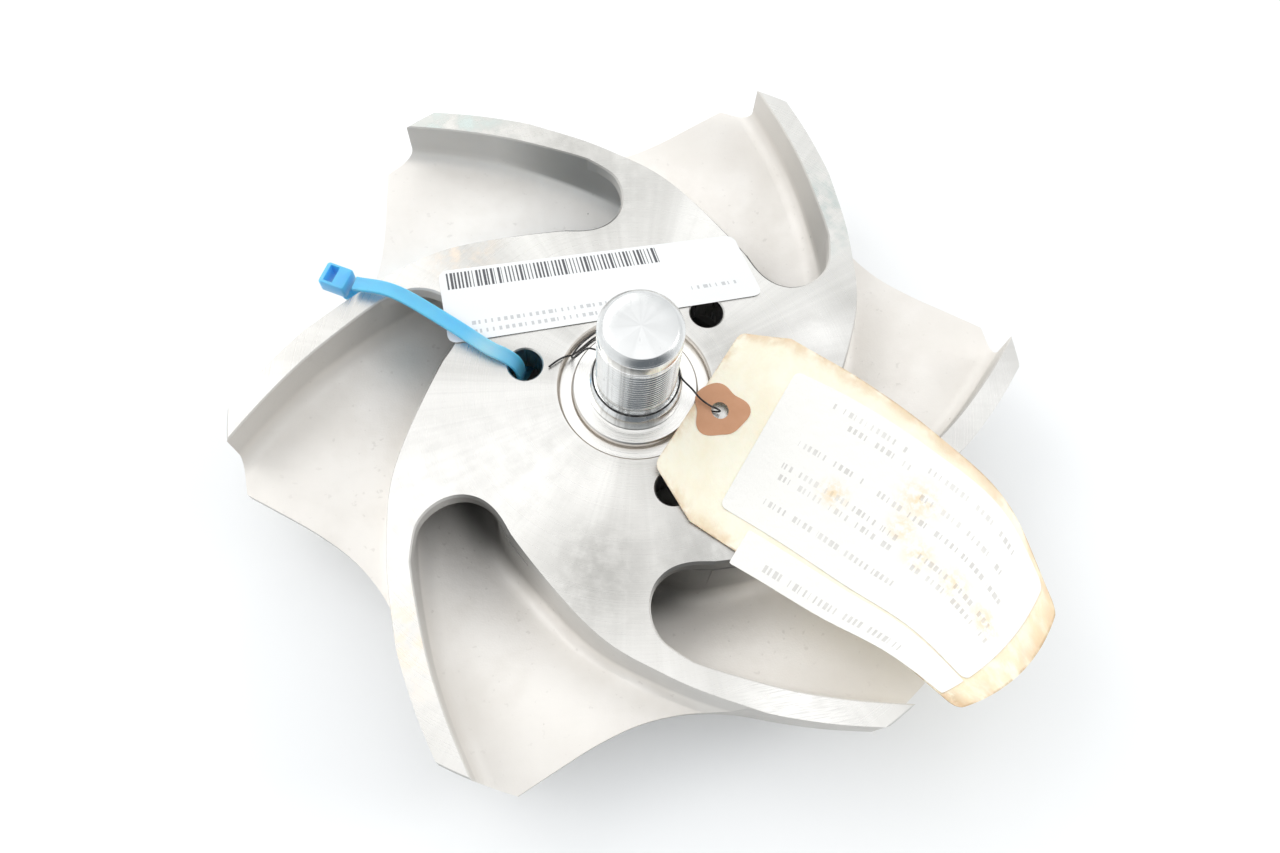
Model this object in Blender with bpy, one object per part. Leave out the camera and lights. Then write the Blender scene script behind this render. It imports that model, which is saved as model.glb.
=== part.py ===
"""Six-vane pump impeller: one stainless casting with a threaded stud, as it is stored with its tie and tags.

Metres, +Z up. The origin is on the shaft axis, in the plane of the eye ring that the impeller stands on.
The machined rear face, the stud and the open side of the passages look up.
Plan points are millimetres from the axis. The lists are for the vane whose tip points along -X and for
the passage beside its concave side, and the other five vanes repeat them every 60 degrees, clockwise.
"""

import math

import bmesh
import bpy
from mathutils import Matrix, Vector

MM = 0.001

# Driving dimensions
VANES = 6
IMPELLER_RADIUS = 127 * MM
DEPTH = 48 * MM  # rear face to eye ring
OUTLET_DEPTH = 17.4 * MM  # rear face to the shroud's floor at the rim
RIM_DEPTH = 21.4 * MM  # rear face to the shroud's front at the rim
EYE_RADIUS = 52 * MM
EYE_RING_RADIUS = 57.5 * MM
EYE_RING_HEIGHT = 4 * MM
FLOOR_DROP = 22 * MM  # how much deeper the floor is at the eye than at the rim
FLOOR_POWER = 2.2
FRONT_POWER = 2.4
HUB_NOSE_DEPTH = 43 * MM
HUB_NOSE_RADIUS = 26 * MM
CAVITY_CEILING = 13 * MM
CAVITY_SPRING = 28 * MM  # where the suction cavity starts to arch over
RECESS_RADIUS = 24.5 * MM
RECESS_DEPTH = 3 * MM
BOSS_RADIUS = 20 * MM
BOSS_DEPTH = -0.3 * MM  # the boss stands this much proud
STUD_RADIUS = 12.7 * MM
STUD_HEIGHT = 42 * MM  # above the rear face
STUD_SOCKET_DEPTH = 20 * MM
STUD_SOCKET_CLEARANCE = 0.3 * MM
STUD_BEVEL = 2.2 * MM
COLLAR_RADIUS = 15.2 * MM
COLLAR_HEIGHT = 5.7 * MM
COLLAR_BEVEL = 1.2 * MM
HOLE_RADIUS = 5.5 * MM
HOLE_CIRCLE_RADIUS = 36 * MM
HOLE_ANGLES = (159.5, 39.5, 279.5)
DISC_EDGE_THICKNESS = 3.5 * MM
CONCAVE_FILLET = 5 * MM
CONVEX_FILLET = 8 * MM
CONVEX_DRAFT = 1.5 * MM  # fades out along the tunnel
LABEL_THICKNESS = 0.3 * MM
TAG_THICKNESS = 0.5 * MM
CLEARANCE = 0.3 * MM
TIE_WIDTH = 4.8 * MM
TIE_THICKNESS = 1.3 * MM
WIRE_DIAMETER = 0.6 * MM

WELD = 0.001 * MM  # points this close are one
TURNED_STEPS = 96
HOLE_STEPS = 24
STUD_STEPS = 48

# Both sides of a passage, from outside the rim to the eye. The scallop trims the convex side's outer third.
CONCAVE_SIDE = [(-148, -23), (-127, 0), (-115.5, 12.3), (-103.4, 23.5), (-91, 32.9), (-77.5, 41.9)]
CONCAVE_SIDE += [(-62, 50), (-45, 55.5), (-28, 57), (-9, 52)]
CONVEX_SIDE = [(-65, -140), (-78, -104.7), (-81.9, -62), (-81.6, -38), (-77, -14.3), (-59.8, 18.2)]
CONVEX_SIDE += [(-49.5, 28), (-39, 36.5), (-27, 40.5), (-13, 41)]
LAST_OPEN_STATION = 5
# The edge of the hub disc that ends the opening, from the concave side to the convex side, and a point in it
OPENING_END = [(-77.5, 41.9), (-72.2, 43.7), (-67, 44.8), (-62, 43.9), (-57.8, 41.5), (-55, 38.4)]
OPENING_END += [(-53.4, 35), (-53, 31), (-53.9, 27), (-56.1, 22.9), (-59.8, 18.2)]
OPENING_POINT = (-76, 24)
# The edge of the shroud between two vanes, from outside the rim to the next vane and along its convex side
SCALLOP_EDGE = [(-138, -3), (-126.5, -11.9), (-116.2, -19.6), (-105.5, -27.9), (-96, -37), (-89, -46.8)]
SCALLOP_EDGE += [(-84.4, -56.5), (-81.5, -66), (-79.5, -77), (-76.5, -90), (-71.9, -104.7), (-60, -140)]
SCALLOP_OUTSIDE = [(-110, -150), (-160, -60)]

# What is fastened to the impeller
LABEL_CORNERS = [(-57, 23), (47.6, 26.5), (42, 50.5), (-58, 50)]
TAG_LEFT = [(1.2, -28.1), (8.9, -47), (25, -62.2), (42.3, -79.6), (58.4, -95), (71.4, -113.7)]
TAG_RIGHT = [(36.3, 12.1), (53.1, 8.5), (72.7, -9), (92, -31.2), (106.3, -56.9), (107.8, -91.7)]
TAG_END_BOW = 5 * MM  # how far the middle of its far end stands out
TAG_CURL = 9 * MM
TAG_CURL_START = 0.55
TAG_LIFT = 2.4 * MM  # at the hole end, where the wire holds it up
TAG_LIFT_END = 0.35
TAG_HOLE_CENTRE = (24.8, -13.2)
TAG_HOLE_RADIUS = 2.8 * MM
TAG_ROWS = 20
# The cable tie's route from its head over the face, down balance hole 1, round the vane's inner end and
# back along its convex wall: plan point, height above the rear face, and the direction of the band's width
TIE_ROUTE = [
    ((-84.6, 47.6, 3.4), (0.5, 0.85, 0)),
    ((-72.0, 42.0, 4.6), (0.6, 0.8, 0)),
    ((-57.0, 29.6, 4.4), (0.65, 0.76, 0)),
    ((-45.0, 19.2, 2.8), (0.6, 0.8, 0)),
    ((-40.0, 15.9, 2.0), (0.55, 0.84, 0)),
    ((-36.8, 13.8, 0.0), (0.5, 0.87, 0)),
    ((-35.6, 13.0, -4.0), (0.5, 0.87, 0)),
    ((-35.2, 13.4, -11.0), (0.4, 0.9, 0.3)),
    ((-34.5, 18.0, -20.0), (0, 0.4, 1)),
    ((-24.0, 30.5, -22.5), (0, 0, 1)),
    ((-8.0, 38.0, -23.0), (0, 0, 1)),
    ((11.0, 38.5, -24.0), (0, 0, 1)),
    ((25.0, 38.0, -25.0), (0, 0, 1)),
    ((27.0, 46.0, -26.0), (0, 0, 1)),
    ((14.5, 56.8, -25.6), (0, 0, 1)),
    ((-5.0, 61.8, -22.6), (0, 0, 1)),
    ((-27.0, 64.7, -20.5), (0, 0, 1)),
    ((-51.5, 62.7, -16.0), (0, 0, 1)),
    ((-70.0, 56.8, -12.5), (0, 0, 1)),
    ((-81.0, 51.9, -9.0), (0.25, 0.15, 0.95)),
    ((-87.0, 48.8, -5.0), (0.65, 0.4, 0.6)),
    ((-88.3, 48.3, -1.5), (0.84, 0.55, 0)),
]
TIE_HEAD_CENTRE = (-90.2, 50.4, 2.2)
TIE_HEAD_SIZE = (9 * MM, 8 * MM, 6.4 * MM)
TIE_HEAD_TURN = -30  # degrees, about the vertical
TIE_HEAD_BEVEL = 1.2 * MM
# The tag's wire from its loose end in the recess round the stud to the tag's hole
WIRE_TAIL = [(-26.4, 10.2, 0.8), (-23.9, 11.6, 1.1), (-21.4, 12.8, 0.9), (-19.4, 13.7, -0.4), (-17.4, 14.9, -1.9)]
WIRE_TAIL += [(-10.5, 19.6, -2.0), (-4.5, 21.8, -1.5), (-3.0, 22.9, -0.6), (-8.0, 22.0, -1.0), (-14.8, 17.8, -1.2)]
WIRE_TAIL += [(-18.4, 13.6, -0.6), (-17.6, 11.6, 2.6), (-13.6, 11.8, 7.2)]
WIRE_WRAP_RADIUS = 13.7 * MM
WIRE_WRAP = (130, -370)  # degrees, clockwise from above
WIRE_WRAP_HEIGHTS = (7.2, 8.6)
WIRE_LEAD = [(16.6, -6.6, 7.0), (19.0, -9.2, 4.6), (21.6, -11.6, 3.8), (23.6, -12.9, 3.6), (24.9, -13.3, 1.9)]
WIRE_LEAD += [(23.4, -12.8, 0.9), (20.4, -11.4, 0.8)]
WIRE_POINT_SPACING = 2.6 * MM


def rear(depth):
    """The height of a point this far below the rear face."""
    return DEPTH - depth


def turned(point, index):
    """A plan point in millimetres, turned clockwise to the vane with this index, in metres."""
    angle = math.radians(-360 / VANES * index)
    return Matrix.Rotation(angle, 2) @ Vector(point) * MM


def on_circle(radius, degrees, height=0.0):
    angle = math.radians(degrees)
    return Vector((radius * math.cos(angle), radius * math.sin(angle), height))


def smooth_curve(points, steps):
    """A Catmull-Rom curve through the points, with this many steps between two of them."""
    vectors = [Vector(point) for point in points]
    padded = [2 * vectors[0] - vectors[1], *vectors, 2 * vectors[-1] - vectors[-2]]
    curve = []
    for before, start, end, after in zip(padded, padded[1:], padded[2:], padded[3:]):
        for step in range(steps):
            t = step / steps
            slope_a = (end - before) / 2
            slope_b = (after - start) / 2
            along = start + slope_a * t
            along += (3 * (end - start) - 2 * slope_a - slope_b) * t**2
            along += (2 * (start - end) + slope_a + slope_b) * t**3
            curve.append(along)
    curve.append(vectors[-1])
    return curve


def material(name, colour, roughness, metallic):
    made = bpy.data.materials.new(name)
    made.use_nodes = True
    shader = made.node_tree.nodes["Principled BSDF"]
    shader.inputs["Base Color"].default_value = (*colour, 1)
    shader.inputs["Roughness"].default_value = roughness
    shader.inputs["Metallic"].default_value = metallic
    return made


def add_object(name, bm, finish=None):
    """An object from a bmesh. Without a finish it is a cutter."""
    bmesh.ops.remove_doubles(bm, verts=bm.verts, dist=WELD)
    bmesh.ops.recalc_face_normals(bm, faces=bm.faces)
    mesh = bpy.data.meshes.new(name)
    bm.to_mesh(mesh)
    bm.free()
    made = bpy.data.objects.new(name, mesh)
    bpy.context.scene.collection.objects.link(made)
    if finish:
        mesh.materials.append(finish)
        mesh.shade_smooth()
        mesh.set_sharp_from_angle(angle=math.radians(30))
    else:
        made.hide_render = True
        made.display_type = "WIRE"
    return made


def spun(profile, steps):
    """A bmesh turned from (radius, height) points. An end on the axis closes the shape."""
    bm = bmesh.new()
    verts = [bm.verts.new((radius, 0, height)) for radius, height in profile]
    edges = [bm.edges.new(pair) for pair in zip(verts, verts[1:])]
    bmesh.ops.spin(
        bm, geom=verts + edges, axis=(0, 0, 1), cent=(0, 0, 0), angle=2 * math.pi, steps=steps
    )
    bmesh.ops.remove_doubles(bm, verts=bm.verts, dist=WELD)
    return bm


def lofted(rings):
    """A bmesh through rings of points, with its two ends closed."""
    bm = bmesh.new()
    loops = [[bm.verts.new(point) for point in ring] for ring in rings]
    for first, second in zip(loops, loops[1:]):
        for i, corner in enumerate(first):
            following = (i + 1) % len(first)
            bm.faces.new((corner, first[following], second[following], second[i]))
    bm.faces.new(loops[0])
    bm.faces.new(loops[-1])
    return bm


def extruded(outline, low, high):
    """A bmesh with this plan outline, in metres, between two heights."""
    return lofted([[(x, y, z) for x, y in outline] for z in (low, high)])


def cut(target, cutter):
    modifier = target.modifiers.new(cutter.name, "BOOLEAN")
    modifier.operation = "DIFFERENCE"
    modifier.solver = "EXACT"
    modifier.object = cutter


def floor_height(radius):
    """The shroud's inner surface."""
    share = (IMPELLER_RADIUS - radius) / (IMPELLER_RADIUS - EYE_RADIUS)
    return rear(OUTLET_DEPTH + FLOOR_DROP * max(0, share) ** FLOOR_POWER)


def front_height(radius):
    """The shroud's outer surface, on the suction side."""
    share = (IMPELLER_RADIUS - radius) / (IMPELLER_RADIUS - EYE_RING_RADIUS)
    drop = DEPTH - EYE_RING_HEIGHT - RIM_DEPTH
    return rear(RIM_DEPTH + drop * share**FRONT_POWER)


def casting_profile():
    """Half a section through the blank, from the stud's socket over the rear face to the hub's nose."""
    socket = STUD_RADIUS + STUD_SOCKET_CLEARANCE
    points = [
        (0, rear(STUD_SOCKET_DEPTH)),
        (socket, rear(STUD_SOCKET_DEPTH)),
        (socket, rear(BOSS_DEPTH)),
        (BOSS_RADIUS, rear(BOSS_DEPTH)),
        (BOSS_RADIUS, rear(RECESS_DEPTH)),
        (RECESS_RADIUS, rear(RECESS_DEPTH)),
        (RECESS_RADIUS, rear(0)),
        (IMPELLER_RADIUS, rear(0)),
        (IMPELLER_RADIUS, rear(RIM_DEPTH)),
    ]
    steps = 8
    for step in range(1, steps + 1):
        radius = IMPELLER_RADIUS + (EYE_RING_RADIUS - IMPELLER_RADIUS) * step / steps
        points.append((radius, front_height(radius)))
    points += [(EYE_RING_RADIUS, 0), (EYE_RADIUS, 0)]
    # The annular suction cavity, from the eye's bore over its ceiling to the nose
    cavity_centre = (EYE_RADIUS + HUB_NOSE_RADIUS) / 2
    half_width = EYE_RADIUS - cavity_centre
    rise = CAVITY_SPRING - CAVITY_CEILING
    for step in range(7):
        angle = math.radians(30 * step)
        points.append((cavity_centre + half_width * math.cos(angle), rear(CAVITY_SPRING - rise * math.sin(angle))))
    nose_height = HUB_NOSE_DEPTH - CAVITY_SPRING
    for step in range(1, 6):
        angle = math.radians(90 - 18 * step)
        points.append((HUB_NOSE_RADIUS * math.sin(angle), rear(CAVITY_SPRING + nose_height * math.cos(angle))))
    points[-1] = (0, points[-1][1])
    return points


def passage_ring(concave, convex, top, draft):
    """One closed section across a passage, between a point on each wall."""
    across = convex - concave
    width = across.length
    left = min(CONCAVE_FILLET, width / 3)
    right = min(CONVEX_FILLET, width / 3)
    offsets = [(0.0, None), (0.0, left)]
    for degrees in (30, 60):
        angle = math.radians(degrees)
        offsets.append((left * (1 - math.cos(angle)), left * (1 - math.sin(angle))))
    offsets += [(left, 0.0), (width / 2, 0.0), (width - right - draft, 0.0)]
    for degrees in (60, 30):
        angle = math.radians(degrees)
        offsets.append((width - draft - right * (1 - math.cos(angle)), right * (1 - math.sin(angle))))
    offsets += [(width - draft, right), (width, None)]
    ring = []
    for offset, above_floor in offsets:
        place = concave + across * (offset / width)
        height = top if above_floor is None else floor_height(place.length) + above_floor
        ring.append((*place, height))
    return ring


def passage_cutter(index):
    """The whole passage: open to the rear outside the hub disc, and a tunnel to the eye under it."""
    steps = 2
    walls = list(zip(smooth_curve(CONCAVE_SIDE, steps), smooth_curve(CONVEX_SIDE, steps)))
    last_open = LAST_OPEN_STATION * steps
    stations = [(*pair, -2 * MM, CONVEX_DRAFT) for pair in walls[: last_open + 1]]
    # The ceiling starts with an upright step, just past the last open section
    tunnel = walls[last_open + 1 :]
    left, right = (a.lerp(b, 0.02) for a, b in zip(walls[last_open], tunnel[0]))
    stations.append((left, right, DISC_EDGE_THICKNESS, CONVEX_DRAFT))
    for number, pair in enumerate(tunnel):
        share = number / (len(tunnel) - 1)
        ceiling = DISC_EDGE_THICKNESS + (CAVITY_CEILING - DISC_EDGE_THICKNESS) * share
        stations.append((*pair, ceiling, CONVEX_DRAFT * (1 - share)))
    rings = [passage_ring(turned(a, index), turned(b, index), rear(top), draft) for a, b, top, draft in stations]
    return add_object(f"passage_cutter_{index + 1}", lofted(rings))


def upright_cutter(name, centre, radius, low_depth, high_depth):
    """An upright cylinder between two depths below the rear face."""
    outline = [centre + on_circle(radius, 360 * i / HOLE_STEPS).to_2d() for i in range(HOLE_STEPS)]
    return add_object(name, extruded(outline, rear(low_depth), rear(high_depth)))


def opening_end_cutter(index):
    """What ends a passage's opening in the rear face with a round edge."""
    outline = [turned(point, index) for point in [*OPENING_END, OPENING_POINT]]
    bm = extruded(outline, rear(2 * DISC_EDGE_THICKNESS), rear(-3 * MM))
    return add_object(f"opening_end_cutter_{index + 1}", bm)


def scallop_cutter(index):
    """What is cut away of the shroud between two vanes, and of the next vane's convex side."""
    edge = smooth_curve(SCALLOP_EDGE, 2)
    outline = [turned(point, index) for point in [*edge, *map(Vector, SCALLOP_OUTSIDE)]]
    return add_object(f"scallop_cutter_{index + 1}", extruded(outline, rear(60 * MM), rear(-4 * MM)))


def balance_hole_cutter(number, degrees):
    centre = on_circle(HOLE_CIRCLE_RADIUS, degrees).to_2d()
    return upright_cutter(f"balance_hole_cutter_{number}", centre, HOLE_RADIUS, 30 * MM, -4 * MM)


def impeller_casting(finish):
    casting = add_object("impeller_casting", spun(casting_profile(), TURNED_STEPS), finish)
    for index in range(VANES):
        cut(casting, passage_cutter(index))
        cut(casting, opening_end_cutter(index))
        cut(casting, scallop_cutter(index))
    for number, degrees in enumerate(HOLE_ANGLES, 1):
        cut(casting, balance_hole_cutter(number, degrees))


def threaded_stud(finish):
    """The stud with its collar on the boss and its shank in the hub's socket."""
    seat = rear(BOSS_DEPTH) + CLEARANCE
    top = rear(-STUD_HEIGHT)
    profile = [
        (0, rear(STUD_SOCKET_DEPTH) + CLEARANCE),
        (STUD_RADIUS, rear(STUD_SOCKET_DEPTH) + CLEARANCE),
        (STUD_RADIUS, seat),
        (COLLAR_RADIUS, seat),
        (COLLAR_RADIUS, seat + COLLAR_HEIGHT - COLLAR_BEVEL),
        (COLLAR_RADIUS - COLLAR_BEVEL, seat + COLLAR_HEIGHT),
        (STUD_RADIUS, seat + COLLAR_HEIGHT),
        (STUD_RADIUS, top - STUD_BEVEL),
        (STUD_RADIUS - STUD_BEVEL, top),
        (0, top),
    ]
    add_object("threaded_stud", spun(profile, STUD_STEPS), finish)


def band_ring(centre, along, width_direction):
    """One section across the cable tie's band."""
    normal = along.cross(width_direction).normalized()
    side = normal.cross(along).normalized() * TIE_WIDTH / 2
    up = normal * TIE_THICKNESS / 2
    return [centre - side - up, centre + side - up, centre + side + up, centre - side + up]


def above_face(point):
    """A point in millimetres, its third value above the rear face, in metres."""
    x, y, height = point
    return Vector((x, y, height)) * MM + Vector((0, 0, rear(0)))


def cable_tie(finish):
    steps = 3
    centres = smooth_curve([above_face(place) for place, width in TIE_ROUTE], steps)
    widths = smooth_curve([width for place, width in TIE_ROUTE], steps)
    rings = []
    for number, (centre, width) in enumerate(zip(centres, widths)):
        before = centres[max(number - 1, 0)]
        after = centres[min(number + 1, len(centres) - 1)]
        rings.append(band_ring(centre, (after - before).normalized(), width))
    add_object("tie_strap", lofted(rings), finish)

    bm = bmesh.new()
    bmesh.ops.create_cube(bm, size=1)
    bmesh.ops.scale(bm, vec=TIE_HEAD_SIZE, verts=bm.verts)
    bmesh.ops.bevel(bm, geom=bm.edges, offset=TIE_HEAD_BEVEL, segments=1, affect="EDGES")
    head = add_object("tie_head", bm, finish)
    head.location = above_face(TIE_HEAD_CENTRE)
    head.rotation_euler.z = math.radians(TIE_HEAD_TURN)


def evenly_spaced(points, spacing):
    """The points of a fine curve, thinned out to this spacing."""
    kept = [points[0]]
    for point in points[1:-1]:
        if (point - kept[-1]).length >= spacing:
            kept.append(point)
    return [*kept, points[-1]]


def wire_route():
    """The wire's centre line: its tail, its turns round the stud and its lead to the tag."""
    start, end = WIRE_WRAP
    low, high = WIRE_WRAP_HEIGHTS
    turns = []
    for number in range(18):
        share = number / 17
        place = on_circle(WIRE_WRAP_RADIUS, start + (end - start) * share)
        turns.append(place + above_face((0, 0, low + (high - low) * share)))
    points = [*map(above_face, WIRE_TAIL), *turns, *map(above_face, WIRE_LEAD)]
    return evenly_spaced(smooth_curve(points, 8), WIRE_POINT_SPACING)


def tag_wire(finish):
    curve = bpy.data.curves.new("tag_wire", "CURVE")
    curve.dimensions = "3D"
    curve.bevel_depth = WIRE_DIAMETER / 2
    curve.bevel_resolution = 2
    curve.use_fill_caps = True
    spline = curve.splines.new("POLY")
    route = wire_route()
    spline.points.add(len(route) - 1)
    for point, place in zip(spline.points, route):
        point.co = (*place, 1)
    curve.materials.append(finish)
    wire = bpy.data.objects.new("tag_wire", curve)
    bpy.context.scene.collection.objects.link(wire)


def face_label(finish):
    low = rear(0) + CLEARANCE
    outline = [Vector(corner) * MM for corner in LABEL_CORNERS]
    add_object("face_label", extruded(outline, low, low + LABEL_THICKNESS), finish)


def tag_side(points):
    """One side of the tag with a point for each row: straight past the clipped corner, then curved."""
    steps = TAG_ROWS // (len(points) - 1)
    first, second = map(Vector, points[:2])
    return [first.lerp(second, i / steps) for i in range(steps)] + smooth_curve(points[1:], steps)


def tag_surface(row, across):
    """A point of the tag's underside. Rows count from the hole end, across from the left edge."""
    along = row / TAG_ROWS
    left, right = tag_side(TAG_LEFT)[row], tag_side(TAG_RIGHT)[row]
    outward = Vector(((right - left).y, (left - right).x)).normalized()
    bow = TAG_END_BOW * 4 * across * (1 - across) * along**4
    place = left.lerp(right, across) * MM + outward * bow
    curl = max(0, (along - TAG_CURL_START) / (1 - TAG_CURL_START)) ** 2
    lift = max(0, 1 - along / TAG_LIFT_END) ** 2
    return Vector((*place, rear(0) + 2 * CLEARANCE + TAG_CURL * curl + TAG_LIFT * lift))


def tag_sheet(name, row_range, first_across, last_across, lift, thickness, finish):
    """A sheet that follows the tag between two rows, with its two sides' shares of the width at both."""
    first, last = row_range
    rings = []
    for row in range(first, last + 1):
        low, high = Vector(first_across).lerp(Vector(last_across), (row - first) / (last - first))
        under = [tag_surface(row, low + (high - low) * i / 3) + Vector((0, 0, lift)) for i in range(4)]
        over = [point + Vector((0, 0, thickness)) for point in reversed(under)]
        rings.append(under + over)
    return add_object(name, lofted(rings), finish)


def shipping_tag(card, patch, paper):
    on_top = TAG_THICKNESS + 1.4 * CLEARANCE
    tag = tag_sheet("shipping_tag", (0, TAG_ROWS), (0, 1), (0, 1), 0, TAG_THICKNESS, card)
    patch_sides = (0.38, 0.62)
    reinforcement = tag_sheet("tag_hole_patch", (0, 4), patch_sides, patch_sides, on_top, LABEL_THICKNESS, patch)
    centre = Vector(TAG_HOLE_CENTRE) * MM
    for number, holed in enumerate((tag, reinforcement), 1):
        cut(holed, upright_cutter(f"tag_hole_cutter_{number}", centre, TAG_HOLE_RADIUS, 0, -20 * MM))
    tag_sheet("tag_paper_label", (5, 19), (0.13, 0.87), (0.17, 0.97), on_top, LABEL_THICKNESS, paper)
    tag_sheet("tag_strip_label", (7, 19), (-0.06, 0.08), (0.01, 0.158), on_top, LABEL_THICKNESS, paper)


def build():
    for old in list(bpy.data.objects):
        bpy.data.objects.remove(old, do_unlink=True)
    steel = material("cast_stainless_steel", (0.62, 0.61, 0.59), 0.42, 0.9)
    bright = material("machined_steel", (0.7, 0.7, 0.7), 0.22, 1.0)
    paper = material("white_paper", (0.85, 0.86, 0.86), 0.6, 0.0)
    card = material("manila_card", (0.78, 0.6, 0.36), 0.75, 0.0)
    patch = material("brown_patch", (0.45, 0.2, 0.1), 0.7, 0.0)
    blue = material("blue_nylon", (0.1, 0.45, 0.95), 0.35, 0.0)
    black = material("black_wire", (0.03, 0.03, 0.03), 0.5, 0.0)
    impeller_casting(steel)
    threaded_stud(bright)
    cable_tie(blue)
    tag_wire(black)
    face_label(paper)
    shipping_tag(card, patch, paper)


build()
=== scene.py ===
"""The looks of a six-vane pump impeller, as it is stored with its tie, label and shipping tag.

Metres, +Z up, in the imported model's frame: the origin is on the shaft axis, in the plane of the eye ring.
Plan points in the lists are millimetres from the axis, and their heights are millimetres above the rear face.
"""

import math

import bmesh
import bpy
from mathutils import Matrix, Vector, noise


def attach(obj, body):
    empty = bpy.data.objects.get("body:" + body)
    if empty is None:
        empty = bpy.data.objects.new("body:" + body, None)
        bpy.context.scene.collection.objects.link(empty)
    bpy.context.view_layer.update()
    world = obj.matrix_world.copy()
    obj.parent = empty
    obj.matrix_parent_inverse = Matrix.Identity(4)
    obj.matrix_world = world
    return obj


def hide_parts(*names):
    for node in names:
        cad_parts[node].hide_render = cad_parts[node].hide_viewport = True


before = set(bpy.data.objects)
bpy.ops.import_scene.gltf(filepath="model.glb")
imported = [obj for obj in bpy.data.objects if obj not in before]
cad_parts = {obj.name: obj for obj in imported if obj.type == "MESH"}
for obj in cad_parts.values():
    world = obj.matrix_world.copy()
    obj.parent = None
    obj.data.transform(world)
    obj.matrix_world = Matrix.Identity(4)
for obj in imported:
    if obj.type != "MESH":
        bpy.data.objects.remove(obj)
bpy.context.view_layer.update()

MM = 0.001
WELD = 0.001 * MM

# The casting, as the solids have it
VANES = 6
IMPELLER_RADIUS = 127 * MM
DEPTH = 48 * MM
OUTLET_DEPTH = 17.4 * MM
RIM_DEPTH = 21.4 * MM
EYE_RADIUS = 52 * MM
EYE_RING_RADIUS = 57.5 * MM
EYE_RING_HEIGHT = 4 * MM
FLOOR_DROP = 22 * MM
FLOOR_POWER = 2.2
FRONT_POWER = 2.4
HUB_NOSE_DEPTH = 43 * MM
HUB_NOSE_RADIUS = 26 * MM
CAVITY_CEILING = 13 * MM
CAVITY_SPRING = 28 * MM
RECESS_RADIUS = 24.5 * MM
RECESS_DEPTH = 3 * MM
BOSS_RADIUS = 20 * MM
BOSS_DEPTH = -0.3 * MM
STUD_RADIUS = 12.7 * MM
STUD_HEIGHT = 42 * MM
STUD_SOCKET_DEPTH = 20 * MM
HOLE_RADIUS = 5.5 * MM
HOLE_CIRCLE_RADIUS = 36 * MM
HOLE_ANGLES = (159.5, 39.5, 279.5)
DISC_EDGE_THICKNESS = 3.5 * MM
CONCAVE_FILLET = 5 * MM
CONVEX_FILLET = 8 * MM
CONVEX_DRAFT = 1.5 * MM  # fades out along the tunnel
CLEARANCE = 0.3 * MM

# Both sides of a passage, from outside the rim to the eye. The scallop trims the convex side's outer third.
CONCAVE_SIDE = [(-148, -23), (-127, 0), (-115.5, 12.3), (-103.4, 23.5), (-91, 32.9), (-77.5, 41.9)]
CONCAVE_SIDE += [(-62, 50), (-45, 55.5), (-28, 57), (-9, 52)]
CONVEX_SIDE = [(-65, -140), (-78, -104.7), (-81.9, -62), (-81.6, -38), (-77, -14.3), (-59.8, 18.2)]
CONVEX_SIDE += [(-49.5, 28), (-39, 36.5), (-27, 40.5), (-13, 41)]
LAST_OPEN_STATION = 5
# The edge of the hub disc that ends the opening, from the concave side to the convex side, and a point in it
OPENING_END = [(-77.5, 41.9), (-72.2, 43.7), (-67, 44.8), (-62, 43.9), (-57.8, 41.5), (-55, 38.4)]
OPENING_END += [(-53.4, 35), (-53, 31), (-53.9, 27), (-56.1, 22.9), (-59.8, 18.2)]
OPENING_POINT = (-76, 24)
# The edge of the shroud between two vanes, from outside the rim to the next vane and along its convex side
SCALLOP_EDGE = [(-138, -3), (-126.5, -11.9), (-116.2, -19.6), (-105.5, -27.9), (-96, -37), (-89, -46.8)]
SCALLOP_EDGE += [(-84.4, -56.5), (-81.5, -66), (-79.5, -77), (-76.5, -90), (-71.9, -104.7), (-60, -140)]
SCALLOP_OUTSIDE = [(-110, -150), (-160, -60)]

# The finer shape that only the looks have
CRISP_EDGE = 0.45 * MM
SOFT_EDGE = 0.9 * MM
RISE = 2 * MM  # how far the cutters stand above the rear face
PASSAGE_STEPS = 10
FILLET_STEPS = 6
FLOOR_STEPS = 12
TURNED_STEPS = 288
THREAD_PITCH = 1.5875 * MM
THREAD_DEPTH = 0.7 * MM
THREAD_ROWS = 8  # for each turn
STUD_STEPS = 120
HOLE_STEPS = 64
# The stud's outline in millimetres: radius, and height from the place that the name says
STUD_FROM_BOTTOM = [(0, 0), (11.7, 0), (12.7, 1)]
STUD_FROM_SEAT = [(12.7, 0), (15.2, 0), (15.1, 0.5)]
STUD_FROM_COLLAR = [(14.7, -1.3), (14.5, -0.9), (13.5, 0), (13.1, 0), (12.3, -0.5), (12, 0.2)]
STUD_FROM_THREAD_START = [(12, -0.9), (12.7, -0.1)]
STUD_FROM_THREAD_END = [(12.65, 0.2), (12.25, 0.4), (12.25, 0.9), (12.7, 1.1)]
STUD_FROM_TOP = [(12.7, -2.3), (12.55, -2), (10.7, -0.15), (10.4, 0), (6, 0), (0, 0)]
COLLAR_HEIGHT = 5.7 * MM
THREAD_ABOVE_COLLAR = 3.2 * MM
THREAD_BELOW_TOP = 7.2 * MM

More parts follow.
